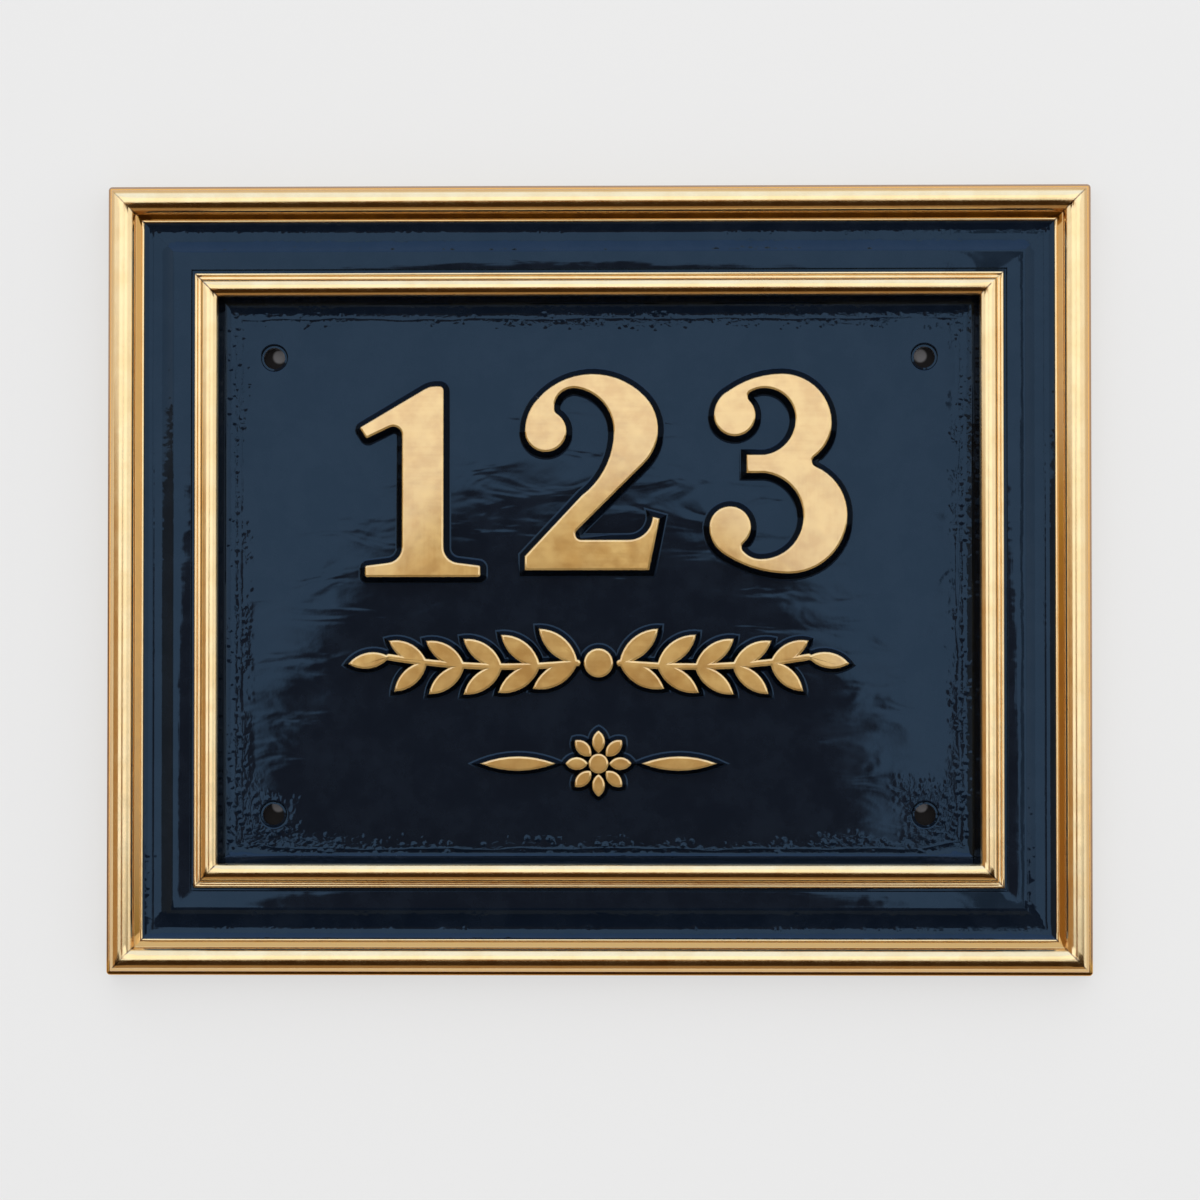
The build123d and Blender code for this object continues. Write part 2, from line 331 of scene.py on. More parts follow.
@dataclass(frozen=True)
class Enamel:
    """Gloss enamel that was brushed on thick: it ripples, sags, and gathers in lumps along the walls."""

    name: str
    half_width: float
    half_height: float
    deep: Colour = (0.0034, 0.0066, 0.0140)
    worn: Colour = (0.0058, 0.0100, 0.0190)
    shine: Colour = (0.34, 0.62, 1.0)
    index: float = 1.52
    cloud_size: float = 0.009
    cloud_range: Point = (0.35, 0.70)
    gloss: Point = (0.02, 0.06)
    gloss_range: Point = (0.30, 0.75)
    sag_size: float = 0.026
    sag_height: float = 0.00010
    ripple_size: float = 0.011
    ripple_height: float = 0.00007
    ripple_stretch: Place = (0.55, 1.0, 1.5)
    ripple_detail: float = 1.8
    ripple_warp: float = 0.7
    peel_size: float = 0.0015
    peel_height: float = 0.0000016
    brush_size: float = 0.0012
    brush_height: float = 0.000007
    brush_stretch: Place = (0.07, 1.0, 1.0)
    brush_end: Point = (0.0315, 0.0300)
    lump_height: float = 0.00015
    bubble_spacing: float = 0.0021
    bubble_range: Point = (0.50, 0.05)
    wrinkle_size: float = 0.0016
    wrinkle_stretch: Place = (0.5, 1.0, 1.0)
    patch_size: float = 0.012
    patch_range: Point = (0.40, 0.58)
    panel_start: float = 0.0310
    beside_wall: Point = (0.0385, 0.0322)
    foot_start: Point = (0.0310, 0.0325)
    foot_end: Point = (0.0352, 0.0335)
    foot_share: float = 0.45
    in_corner: Point = (0.054, 0.040)
    low_part: Point = (-0.02, -0.05)
    corner_share: float = 0.6
    in_channel: Point = (0.0180, 0.0165)
    channel_shares: Point = (0.35, 0.08)

    def build(self) -> bpy.types.Material:
        """Return the enamel's material."""
        graph = Graph.material(self.name)
        place = graph.place()
        spot = graph.whereabouts(self.half_width, self.half_height)
        cloud = graph.noise(place, self.cloud_size, 5.0, 0.62)
        colour = graph.blend(graph.remap(cloud, *self.cloud_range), self.deep, self.worn)
        gloss = graph.remap(graph.noise(place, self.cloud_size, 3.0), *self.gloss_range, *self.gloss)

        sag = graph.noise(place, self.sag_size, 1.0)
        spread = graph.stretch(place, self.ripple_stretch)
        ripple = graph.noise(spread, self.ripple_size, self.ripple_detail, warp=self.ripple_warp)
        peel = graph.noise(place, self.peel_size, 1.0)
        brush = graph.noise(graph.stretch(spot.run, self.brush_stretch), self.brush_size)
        brush = graph.product(brush, graph.remap(spot.inset, *self.brush_end))

        lumps = self.lumps(graph, place, spot)
        forms = {
            sag: self.sag_height,
            ripple: self.ripple_height,
            peel: self.peel_height,
            brush: self.brush_height,
            lumps: self.lump_height,
        }
        normal = None
        for form, height in forms.items():
            normal = graph.bump(form, height, normal)
        inputs = {
            "Base Color": colour,
            "Roughness": gloss,
            "IOR": self.index,
            "Specular Tint": (*self.shine, 1),
            "Normal": normal,
        }
        return graph.close(graph.add("BsdfPrincipled", inputs))

    def lumps(self, graph: Graph, place: Socket, spot: Whereabouts) -> Socket:
        """Return the height of the lumps along the panel's edge, in its low corners and in the channel.

        Args:
            graph: The enamel's node tree.
            place: The piece's own coordinates.
            spot: Where a place lies on the plaque's front.

        Returns:
            The height, from 0 to 1.
        """
        low = graph.remap(spot.up, *self.low_part)
        corner = graph.product(graph.remap(spot.from_corner, *self.in_corner), low, self.corner_share)
        where = graph.math("MAXIMUM", graph.remap(spot.inset, *self.beside_wall), corner)
        where = graph.product(where, graph.math("GREATER_THAN", spot.inset, self.panel_start))
        level = graph.remap(spot.upright, 0.0, 1.0, *self.channel_shares)
        channel = graph.product(graph.remap(spot.inset, *self.in_channel), level)
        where = graph.math("MAXIMUM", where, channel)
        patches = graph.remap(graph.noise(place, self.patch_size, 3.0), *self.patch_range)
        at_foot = graph.between(spot.inset, self.foot_start, self.foot_end)
        patches = graph.math("MAXIMUM", patches, graph.product(at_foot, self.foot_share))
        bubbles = graph.remap(graph.spots(place, self.bubble_spacing), *self.bubble_range)
        wrinkles = graph.noise(graph.stretch(spot.run, self.wrinkle_stretch), self.wrinkle_size, warp=1.0)
        return graph.product(graph.math("ADD", bubbles, wrinkles), patches, where)


@dataclass(frozen=True)
class Gilding:
    """Lacquered gold leaf over metal: cloudy, drawn out along what it lies on, and dark in the mitres, with
    painted shade on the outer shoulder, the fascia and the outer edge.
    """

    name: str
    half_width: float
    half_height: float
    bright: Colour = (0.95, 0.72, 0.365)
    warm: Colour = (0.91, 0.645, 0.285)
    edge: Colour = (1.0, 0.86, 0.62)
    metal: float = 1.0
    lacquer: float = 2.0
    mitre: Colour = (0.10, 0.045, 0.012)
    mitre_width: Point = (0.00038, 0.00010)
    # Painted shade: tan darkens the front of the outer shoulder and fascia darkens the fascia, standing in
    # for their darker reflections.
    tan: Colour = (0.68, 0.34, 0.02)
    painted_shoulder_shade_width: Point = (0.0027, 0.0015)
    fascia: Colour = (0.58, 0.275, 0.004)
    painted_fascia_shade_start: Point = (0.0073, 0.0078)
    painted_fascia_shade_end: Point = (0.0092, 0.0088)
    # Painted shade: a dark colour on the front of the outer edge, left off along the bottom edge, where the
    # edge shows lit.
    painted_edge_shade: Colour = (0.34, 0.16, 0.045)
    painted_edge_shade_width: Point = (0.00115, 0.00075)
    painted_edge_shade_above: Point = (-0.0995, -0.0965)
    front_edge: Point = (-0.0060, -0.0080)
    border_width: float = 0.0300
    joint_size: float = 0.003
    joint_range: Point = (0.3, 0.6)
    gloss: Point = (0.16, 0.22)
    gloss_size: float = 0.004
    gloss_range: Point = (0.3, 0.7)
    lacquer_gloss: float = 0.11
    cloud_size: float = 0.007
    cloud_range: Point = (0.38, 0.66)
    dimple_size: float = 0.010
    dimple_height: float = 0.000012
    grain_size: float = 0.0012
    grain_height: float = 0.0000016
    draw_size: float = 0.0009
    draw_height: float = 0.0000030
    draw_stretch: Place = (0.04, 1.0, 1.0)
    draw_share: float = 0.2

    def build(self) -> bpy.types.Material:
        """Return the gilding's material."""
        graph = Graph.material(self.name)
        place = graph.place()
        spot = graph.whereabouts(self.half_width, self.half_height)
        drawn = graph.noise(graph.stretch(spot.run, self.draw_stretch), self.draw_size)
        cloud = graph.product(graph.noise(place, self.cloud_size, 4.0, 0.55), 1 - self.draw_share)
        tone = graph.math("ADD", cloud, graph.product(drawn, self.draw_share))
        colour = graph.blend(graph.remap(tone, *self.cloud_range), self.bright, self.warm)
        joint = graph.remap(spot.from_mitre, *self.mitre_width)
        joint = graph.product(joint, graph.remap(graph.noise(place, self.joint_size), *self.joint_range))
        joint = graph.product(joint, graph.math("LESS_THAN", spot.inset, self.border_width))
        colour = graph.blend(joint, colour, self.mitre)
        front = graph.remap(graph.add("SeparateXYZ", {0: place}).outputs[1], *self.front_edge)
        # Painted shade on the front of the outer shoulder.
        outer = graph.product(graph.remap(spot.inset, *self.painted_shoulder_shade_width), front)
        colour = graph.blend(outer, colour, self.tan)
        # Painted shade on the fascia, standing in for its darker reflection.
        fascia = graph.between(spot.inset, self.painted_fascia_shade_start, self.painted_fascia_shade_end)
        colour = graph.blend(fascia, colour, self.fascia)
        # Painted shade on the front of the outer edge, left off along the bottom edge.
        above = graph.remap(spot.up, *self.painted_edge_shade_above)
        painted_edge_shade_mask = graph.product(graph.remap(spot.inset, *self.painted_edge_shade_width), above, front)
        colour = graph.blend(painted_edge_shade_mask, colour, self.painted_edge_shade)
        gloss = graph.remap(graph.noise(place, self.gloss_size, 3.0), *self.gloss_range, *self.gloss)
        normal = graph.bump(graph.noise(place, self.dimple_size), self.dimple_height)
        normal = graph.bump(graph.noise(place, self.grain_size), self.grain_height, normal)
        normal = graph.bump(drawn, self.draw_height, normal)
        inputs = {
            "Base Color": colour,
            "Metallic": self.metal,
            "Roughness": gloss,
            "Specular Tint": (*self.edge, 1),
            "Coat Weight": 1.0,
            "Coat Roughness": self.lacquer_gloss,
            "Coat IOR": self.lacquer,
            "Normal": normal,
        }
        return graph.close(graph.add("BsdfPrincipled", inputs))


@dataclass(frozen=True)
class CastBack:
    """Thin dark primer over a sand-cast back."""

    primer: Colour = (0.020, 0.024, 0.032)
    bare: Colour = (0.046, 0.049, 0.053)
    wear_size: float = 0.007
    wear_range: Point = (0.42, 0.78)
    grain_size: float = 0.0013
    grain_height: float = 0.00014
    grain_range: Point = (0.2, 0.8)
    gloss: Point = (0.5, 0.75)

    def build(self) -> bpy.types.Material:
        """Return the back's material."""
        graph = Graph.material("cast_back")
        place = graph.place()
        wear = graph.remap(graph.noise(place, self.wear_size, 7.0, 0.7), *self.wear_range)
        grain = graph.noise(place, self.grain_size, 3.0, 0.6)
        inputs = {
            "Base Color": graph.blend(wear, self.primer, self.bare),
            "Roughness": graph.remap(grain, *self.grain_range, *self.gloss),
            "Normal": graph.bump(grain, self.grain_height),
        }
        return graph.close(graph.add("BsdfPrincipled", inputs))


@dataclass(frozen=True)
class BareMetal:
    """Bare cast metal, where the screw holes were drilled through the finish."""

    metal: Colour = (0.52, 0.50, 0.48)
    stained: Colour = (0.20, 0.18, 0.165)
    stain_size: float = 0.0016
    stain_range: Point = (0.38, 0.62)
    gloss: Point = (0.30, 0.48)

    def build(self) -> bpy.types.Material:
        """Return the bare metal's material."""
        graph = Graph.material("bare_metal")
        stain = graph.remap(graph.noise(graph.place(), self.stain_size, 3.0), *self.stain_range)
        inputs = {
            "Base Color": graph.blend(stain, self.metal, self.stained),
            "Metallic": 1.0,
            "Roughness": graph.remap(stain, 0.0, 1.0, *self.gloss),
        }
        return graph.close(graph.add("BsdfPrincipled", inputs))


@dataclass
class BorderSection:
    """The border's section in millimetres: s runs inwards from the edge, h out from the wall."""

    side_draft: float = 0.35
    shoulder_height: float = 8.8
    shoulder_radius: float = 0.6
    shoulder_width: float = 1.3
    outer_round: float = 6.2
    outer_rise: float = 0.7
    fascia: float = 1.5
    fascia_drop: float = 1.0
    outer_bead: float = 0.7
    channel_floor: float = 7.35
    hollow: float = 2.8
    cove: float = 4.8
    band_rise: float = 1.65
    band: float = 2.1
    band_fall: Point = (2.5, 0.12)
    quirk: float = 0.9
    quirk_depth: float = 0.6
    inner_rise: float = 0.3
    inner_bead: float = 0.9
    groove: float = 0.6
    groove_depth: float = 0.4
    inner_round: float = 4.9
    wall_draft: float = 22.0
    wall_fillet: float = 4.0
    panel: float = 5.0
    low_fillet: float = 1.4
    pool: float = 1.6
    pool_ridge: float = 0.08
    pool_shape: tuple[Point, ...] = ((0.36, 0.2), (0.46, 0.8), (0.54, 0.8), (0.64, 0.2), (1.0, 0.0))
    shoulder_steps: int = 4
    round_steps: int = 22
    bead_steps: int = 12
    fillet_steps: int = 8

    def half_round(self, spring: Point, width: float, steps: int) -> list[Point]:
        """Return a half round that springs from a point, without that point."""
        return arc((spring[0] + width / 2, spring[1]), width / 2, 180, 0, steps)

    def points(self) -> list[Point]:
        """Return the section from the wall plane at the edge to the flat of the panel."""
        corner = self.shoulder_height - self.shoulder_radius
        line = [(0.0, 0.0), (self.side_draft, corner)]
        centre = (self.side_draft + self.shoulder_radius, corner)
        line += arc(centre, self.shoulder_radius, 180, 90, self.shoulder_steps)
        line.append((self.shoulder_width, self.shoulder_height))
        line.append((self.shoulder_width, self.shoulder_height + self.outer_rise))
        line += self.half_round(line[-1], self.outer_round, self.round_steps)

        line.append((line[-1][0] + self.fascia, line[-1][1] - self.fascia_drop))
        line += self.half_round(line[-1], self.outer_bead, self.bead_steps)
        line += self.channel_points(line[-1])
        line.append((line[-1][0] + self.band, line[-1][1]))

        spring_height = line[-1][1] + self.inner_rise
        quirk_floor = line[-1][1] - self.quirk_depth
        line.append((line[-1][0] + self.band_fall[0], line[-1][1] - self.band_fall[1]))
        line.append((line[-1][0] + self.quirk / 5, quirk_floor))
        line.append((line[-1][0] + self.quirk * 4 / 5, quirk_floor))
        line.append((line[-1][0], spring_height))
        line += self.half_round(line[-1], self.inner_bead, self.bead_steps // 2)
        groove_floor = spring_height - self.groove_depth
        line.append((line[-1][0], groove_floor))
        line.append((line[-1][0] + self.groove, groove_floor))
        line.append((line[-1][0], spring_height))
        line += self.half_round(line[-1], self.inner_round, self.round_steps)
        line += self.wall_points(line[-1])
        return line

    def channel_points(self, start: Point) -> list[Point]:
        """Return the hollow and the cove of the channel, which are tangent where they meet at its floor.

        Args:
            start: Where the outer bead ends.

        Returns:
            The points after start, the band's edge last.
        """
        floor = (start[0] + self.hollow, self.channel_floor)
        line = []
        sides = ((self.hollow, start[1] - floor[1]), (self.cove, self.band_rise))
        for side, (width, rise) in enumerate(sides):
            radius = (width**2 + rise**2) / (2 * rise)
            turn = math.degrees(math.asin(width / radius))
            first, last = (-90 - turn, -90) if side == 0 else (-90, turn - 90)
            line += arc((floor[0], floor[1] + radius), radius, first, last, self.fillet_steps)
        return line

    def wall_points(self, top: Point) -> list[Point]:
        """Return the drafted wall, its fillet, and the pooled enamel along its foot.

        Args:
            top: Where the inner half round ends.

        Returns:
            The points after top, the flat of the panel last.
        """
        draft = math.radians(self.wall_draft)
        foot = top[0] + (top[1] - self.panel) * math.tan(draft)
        tangent = self.wall_fillet * math.tan((math.pi / 2 - draft) / 2)
        centre = (foot + tangent, self.panel + self.wall_fillet)
        start = (foot - tangent * math.sin(draft), self.panel + tangent * math.cos(draft))
        line = [start] + arc(centre, self.wall_fillet, 180 + self.wall_draft, 270, self.fillet_steps)
        edge = line[-1][0]
        for share, rise in self.pool_shape:
            line.append((edge + self.pool * share, self.panel + self.pool_ridge * rise))
        return line

    def band_edge(self) -> float:
        """Return the inset at which the cove meets the band."""
        outer = self.shoulder_width + self.outer_round + self.fascia + self.outer_bead
        return outer + self.hollow + self.cove

    def panel_edge(self) -> float:
        """Return the inset at which the wall's fillet meets the panel."""
        return self.points()[-1 - len(self.pool_shape)][0]


@dataclass
class Casting:
    """The plaque: a moulded border, a sunk panel with raised work on it, and a plain back."""

    section: BorderSection = field(default_factory=BorderSection)
    corner_radius: float = 1.3
    corner_steps: int = 8
    rim_width: float = 6.0
    length_cuts: int = 70
    figure_top: float = 8.2
    ornament_top: float = 7.4
    relief_draft: float = 27.0
    rim_round: float = 0.38
    hole_round: float = 0.55
    foot_width: float = 0.4
    foot_rise: float = 0.75
    arris_round: float = 0.16
    sharp_arris: float = 28.0
    band_round: float = 0.45
    ridge_sway: float = 0.5
    sway_waves: Point = (120.0, 420.0)
    fine_sway: float = 0.45
    swell: float = 1.4
    swell_wave: float = 260.0
    swell_shift: Place = (7.0, 3.0, 5.0)
    least_swell: float = 0.1
    low_blend: float = 12.0
    crease: float = 12.0
    smooth_angle: float = 34.0
    gilt_outer: float = 9.68
    gilt_inner: Point = (22.75, 29.12)
    gilt_floor: float = 8.85
    gilt_rim: float = 0.75
    figure_line: float = -6.0
    recess_height: float = 3.0
    edge_on: float = 0.05
    bore: Point = (83.9627, 58.9627)
    bore_reach: float = 2.9

    def __post_init__(self) -> None:
        """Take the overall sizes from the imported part."""
        _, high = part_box(NODE)
        self.half_width = high.x
        self.half_height = high.z
        self.border = self.section.points()
        self.low_border = replace(self.section, wall_fillet=self.section.low_fillet).points()
        self.panel_level = -self.section.panel * MM

    def inset(self, place: Vector) -> float:
        """Return how far a place lies inside the plaque's outline, in millimetres."""
        return min(self.half_width - abs(place.x), self.half_height - abs(place.z)) / MM

    def on_panel(self, place: Vector) -> bool:
        """Return whether a place lies at the level of the panel's flat."""
        return abs(place.y - self.panel_level) < LEVEL_GAP

    def build(self) -> bpy.types.Object:
        """Return the finished casting, before its finishes.

        Returns:
            One closed mesh object at the origin.
        """
        border = self.build_border()
        body = self.copy_body()
        self.join(body, border)
        self.pool_feet(body)
        self.fill_flats(body)
        self.round_rims(body)
        return body

    def build_border(self) -> bpy.types.Object:
        """Return the border's front, inset ring by ring from the plaque's outline.

        Returns:
            An open mesh from the wall plane to the flat of the panel.
        """
        border = add_plane("border", 2, turn=UPRIGHT_TURN)
        border.scale = (self.half_width, self.half_height, 1)
        bpy.ops.object.transform_apply(location=True, rotation=True, scale=True)
        with editing(border):
            bpy.ops.mesh.select_all(action="SELECT")
            radius = self.corner_radius * MM
            bpy.ops.mesh.bevel(
                offset=radius, segments=self.corner_steps, affect="VERTICES", clamp_overlap=False
            )
            pick(border, Pick.FACES, lambda face: len(face.verts) > 4)
            self.follow_section()
            end = self.border[-1][0]
            pick(border, Pick.FACES, lambda face: self.inset(face.calc_center_median()) > end)
            bpy.ops.mesh.delete(type="FACE")
            self.ease_arrises(border)
            pick(border, Pick.EDGES, lambda edge: self.runs_along(edge) and edge.verts[0].co.y < -MM)
            bpy.ops.mesh.subdivide(number_cuts=self.length_cuts)
            self.sway_ridge(border)
            self.thin_low_fillet(border)
        return border

    def follow_section(self) -> None:
        """Inset the selected face along the section, and close the corner arcs where they run out."""
        for (s_0, h_0), (s_1, h_1) in zip(self.border, self.border[1:]):
            bpy.ops.mesh.inset(thickness=(s_1 - s_0) * MM, depth=(h_1 - h_0) * MM, use_even_offset=True)
            if s_0 < self.corner_radius <= s_1:
                bpy.ops.mesh.remove_doubles(threshold=0.2 * MM)

    def runs_along(self, edge: bmesh.types.BMEdge) -> bool:
        """Return whether an edge runs the length of a border member."""
        return edge.calc_length() > self.half_height / 2

    def ease_arrises(self, border: bpy.types.Object) -> None:
        """Round the sharp arrises of the section a little, as paint does.

        Args:
            border: The border, open in edit mode.
        """
        sharp = math.radians(self.sharp_arris)
        band_edge = self.section.band_edge()

        def at_band(edge: bmesh.types.BMEdge) -> bool:
            """Return whether an edge is the line where the cove meets the band."""
            return self.runs_along(edge) and abs(self.inset(edge.verts[0].co) - band_edge) < 0.01

        def is_arris(edge: bmesh.types.BMEdge) -> bool:
            """Return whether an edge is a sharp line along a member."""
            return self.runs_along(edge) and edge.is_manifold and edge.calc_face_angle() > sharp

        for test, reach, steps in ((at_band, self.band_round, 4), (is_arris, self.arris_round, 2)):
            pick(border, Pick.EDGES, test)
            bpy.ops.mesh.bevel(offset=reach * MM, segments=steps, affect="EDGES", clamp_overlap=True)

    def sway_ridge(self, border: bpy.types.Object) -> None:
        """Let the ridge of enamel along the panel's edge wander and swell, as brushed paint does.

        Args:
            border: The border, open in edit mode.
        """
        mesh = bmesh.from_edit_mesh(border.data)
        start, end = self.section.panel_edge(), self.border[-1][0]
        for vertex in mesh.verts:
            if not start + 0.05 < self.inset(vertex.co) < end - 0.05:
                continue
            upright = self.half_width - abs(vertex.co.x) < self.half_height - abs(vertex.co.z)
            axis = 0 if upright else 2
            broad, fine = (noise.noise(vertex.co * wave) for wave in self.sway_waves)
            sway = broad + self.fine_sway * fine
            swell = 1.0 + self.swell * noise.noise(vertex.co * self.swell_wave + Vector(self.swell_shift))
            vertex.co[axis] += math.copysign(self.ridge_sway * MM, vertex.co[axis]) * sway
            ridge = vertex.co.y - self.panel_level
            vertex.co.y = self.panel_level + ridge * max(swell, self.least_swell)
        bmesh.update_edit_mesh(border.data)

    def thin_low_fillet(self, border: bpy.types.Object) -> None:
        """Draw the enamel's fillet in along the lower member, where less of it gathered.

        Args:
            border: The border, open in edit mode.
        """
        mesh = bmesh.from_edit_mesh(border.data)
        first = len(self.border) - len(self.section.wall_points((0.0, 0.0)))
        pairs = list(zip(self.border, self.low_border))[first:]
        thick_end = self.border[-1][0]
        for vertex in mesh.verts:
            rise = (self.half_height + vertex.co.z) / MM
            from_mitre = (self.half_width - abs(vertex.co.x)) / MM - rise
            if from_mitre <= 0 or not pairs[0][0][0] - 0.01 < rise < thick_end + 1:
                continue
            height = -vertex.co.y / MM
            old, new = min(pairs, key=lambda pair: math.dist(pair[0], (rise, height)))
            share = min(from_mitre / self.low_blend, 1.0)
            share = share * share * (3 - 2 * share)
            vertex.co.z += (new[0] - old[0]) * share * MM
            vertex.co.y -= (new[1] - old[1]) * share * MM
        bmesh.update_edit_mesh(border.data)

    def flat_start(self, place: Vector) -> float:
        """Return the inset at which the panel's flat starts on the member nearest to a place."""
        low = place.z < 0 and self.half_height - abs(place.z) < self.half_width - abs(place.x)
        return self.low_border[-1][0] if low else self.border[-1][0]

    def at_bore(self, place: Vector) -> bool:
        """Return whether a place lies on a screw hole's wall."""
        return math.dist((abs(place.x) / MM, abs(place.z) / MM), self.bore) < self.bore_reach

    def on_flat(self, place: Vector) -> bool:
        """Return whether a place lies on the panel's flat or on its edge."""
        return self.on_panel(place) and self.inset(place) > self.flat_start(place) - 0.1

    def copy_body(self) -> bpy.types.Object:
        """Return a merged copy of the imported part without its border's front and the panel's flat.

        Returns:
            The raised work, the holes and the back, as one mesh object.
        """
        mesh = frame["nodes"][NODE].data.copy()
        mesh.materials.clear()
        body = bpy.data.objects.new("plaque_casting", mesh)
        bpy.context.scene.collection.objects.link(body)
        panel_edge = self.section.panel_edge()

        def is_front(face: bmesh.types.BMFace) -> bool:
            """Return whether a face belongs to the border's front or side."""
            centre = face.calc_center_median()
            inset, out = self.inset(centre), face.normal.y
            side = inset < self.section.shoulder_width and abs(out) < 0.5
            inner = centre.y < -self.recess_height * MM and out < self.edge_on
            return inset < panel_edge and (out < -0.01 or side or inner)

        def is_rim(face: bmesh.types.BMFace) -> bool:
            """Return whether a face is part of the flat rim round the back."""
            level = all(vertex.co.y > -0.01 * MM for vertex in face.verts)
            return level and self.inset(face.calc_center_median()) < self.rim_width

        def is_panel(face: bmesh.types.BMFace) -> bool:
            """Return whether a face is part of the panel's flat."""
            return face.normal.y < -0.999 and all(self.on_panel(vertex.co) for vertex in face.verts)

        with editing(body):
            bpy.ops.mesh.customdata_custom_splitnormals_clear()
            bpy.ops.mesh.select_all(action="SELECT")
            bpy.ops.mesh.mark_sharp(clear=True)
            bpy.ops.mesh.remove_doubles(threshold=0.002 * MM)
            pick(body, Pick.FACES, lambda face: is_front(face) or is_panel(face) or is_rim(face))
            bpy.ops.mesh.delete(type="FACE")
            bpy.ops.mesh.select_all(action="SELECT")
            bpy.ops.mesh.dissolve_limited(angle_limit=math.radians(0.6))
        return body

    def join(self, body: bpy.types.Object, border: bpy.types.Object) -> None:
        """Join the border to the body, which keeps its name."""
        select_only(body, border)
        bpy.ops.object.join()

    def pool_feet(self, body: bpy.types.Object) -> None:
        """Pool enamel along the feet of the raised work, and round it over the rims of the screw holes.

        A hollow strip runs from each wall to the panel, and a rounded one from the panel into each hole.

        Args:
            body: The joined casting, open where the panel's flat goes.
        """
        with editing(body):
            mesh = bmesh.from_edit_mesh(body.data)
            mesh.normal_update()
            feet = [FootLine(mesh, line) for line in self.foot_lines(mesh, sunk=False)]
            holes = [FootLine(mesh, line, sunk=True) for line in self.foot_lines(mesh, sunk=True)]
            tree = kdtree.KDTree(sum(len(foot.vertices) for foot in feet))
            owners = [(foot, index) for foot in feet for index in range(len(foot.vertices))]
            for number, (foot, index) in enumerate(owners):
                tree.insert(foot.vertices[index].co, number)
            tree.balance()
            for foot in feet:
                foot.set_widths(self.foot_width * MM, tree, owners)
            for foot in feet:
                foot.build(mesh, self.foot_rise, math.tan(math.radians(self.relief_draft)))
            for hole in holes:
                hole.widths = [self.hole_round * MM] * hole.count
                hole.build(mesh, -1.0, 0.0)
            bmesh.update_edit_mesh(body.data)

    def foot_lines(self, mesh: bmesh.types.BMesh, sunk: bool) -> list[list[bmesh.types.BMVert]]:
        """Return the closed lines where the raised work, or the screw holes, meet the panel.

        Args:
            mesh: The casting, open where the panel's flat goes.
            sunk: Whether the lines are those of the holes.

        Returns:
            The vertices of each line, in order round it.
        """

        def is_foot(edge: bmesh.types.BMEdge) -> bool:
            """Return whether an open edge is the foot of a wall that leaves the panel the right way."""
            if not edge.is_boundary or not all(self.on_panel(vertex.co) for vertex in edge.verts):
                return False
            inside = self.inset(edge.verts[0].co) > self.border[-1][0] + 0.1
            return inside and (edge.link_faces[0].calc_center_median().y > self.panel_level) == sunk

        links: dict[bmesh.types.BMVert, list[bmesh.types.BMVert]] = {}
        for edge in filter(is_foot, mesh.edges):
            for vertex in edge.verts:
                links.setdefault(vertex, []).append(edge.other_vert(vertex))
        lines = []
        while links:
            line = [next(iter(links))]
            ahead = links.pop(line[0])[0]
            while ahead in links:
                line.append(ahead)
                first, second = links.pop(ahead)
                ahead = second if first is line[-2] else first
            lines.append(line)
        return lines

    def fill_flats(self, body: bpy.types.Object) -> None:
        """Fill the rim round the back, and the panel between the border, the raised work and the holes.

        Args:
            body: The joined casting.
        """

        def is_open(edge: bmesh.types.BMEdge, level: float) -> bool:
            """Return whether an edge is open and lies at a level."""
            return edge.is_boundary and all(abs(end.co.y - level) < LEVEL_GAP for end in edge.verts)

        with editing(body):
            for level in (0.0, self.panel_level):
                pick(body, Pick.EDGES, lambda edge: is_open(edge, level))
                bpy.ops.mesh.fill(use_beauty=True)
            bpy.ops.mesh.select_all(action="SELECT")
            bpy.ops.mesh.normals_make_consistent(inside=False)
            left = pick(body, Pick.EDGES, lambda edge: edge.is_boundary or not edge.is_manifold)
            LOG.info("open edges left: %d", left)

    def round_rims(self, body: bpy.types.Object) -> None:
        """Round the rims of the raised work.

        Args:
            body: The joined casting, with its panel filled.
        """
        crease = math.radians(self.crease)
        tops = (self.figure_top, self.ornament_top)

        def is_rim(edge: bmesh.types.BMEdge) -> bool:
            """Return whether an edge is the rim of a figure's or an ornament's top."""
            heights = [-vertex.co.y / MM for vertex in edge.verts]
            level = any(all(abs(height - top) < 0.01 for height in heights) for top in tops)
            inside = self.inset(edge.verts[0].co) > self.border[-1][0]
            return inside and level and edge.is_manifold and edge.calc_face_angle() > crease

        with editing(body):
            pick(body, Pick.EDGES, is_rim)
            reach = self.rim_round * MM
            bpy.ops.mesh.bevel(offset=reach, segments=3, affect="EDGES", clamp_overlap=False)

    def dress(self, body: bpy.types.Object, finishes: dict[Zone, bpy.types.Material]) -> None:
        """Give each zone of the casting its finish, and shade it smooth between its creases.

        Args:
            body: The finished casting.
            finishes: The material of each zone.
        """
        for zone in Zone:
            body.data.materials.append(finishes[zone])
        places = [vertex.co for vertex in body.data.vertices]
        for polygon in body.data.polygons:
            flat = all(self.on_flat(places[index]) for index in polygon.vertices)
            polygon.material_index = Zone.ENAMEL if flat else self.zone(polygon.center, polygon.normal)
        select_only(body)
        bpy.ops.object.shade_smooth_by_angle(angle=math.radians(self.smooth_angle))
        bpy.ops.object.modifier_add(type="WEIGHTED_NORMAL")
        body.modifiers[-1].keep_sharp = True
        bpy.ops.object.modifier_apply(modifier=body.modifiers[-1].name)
        self.flatten_panel(body.data)

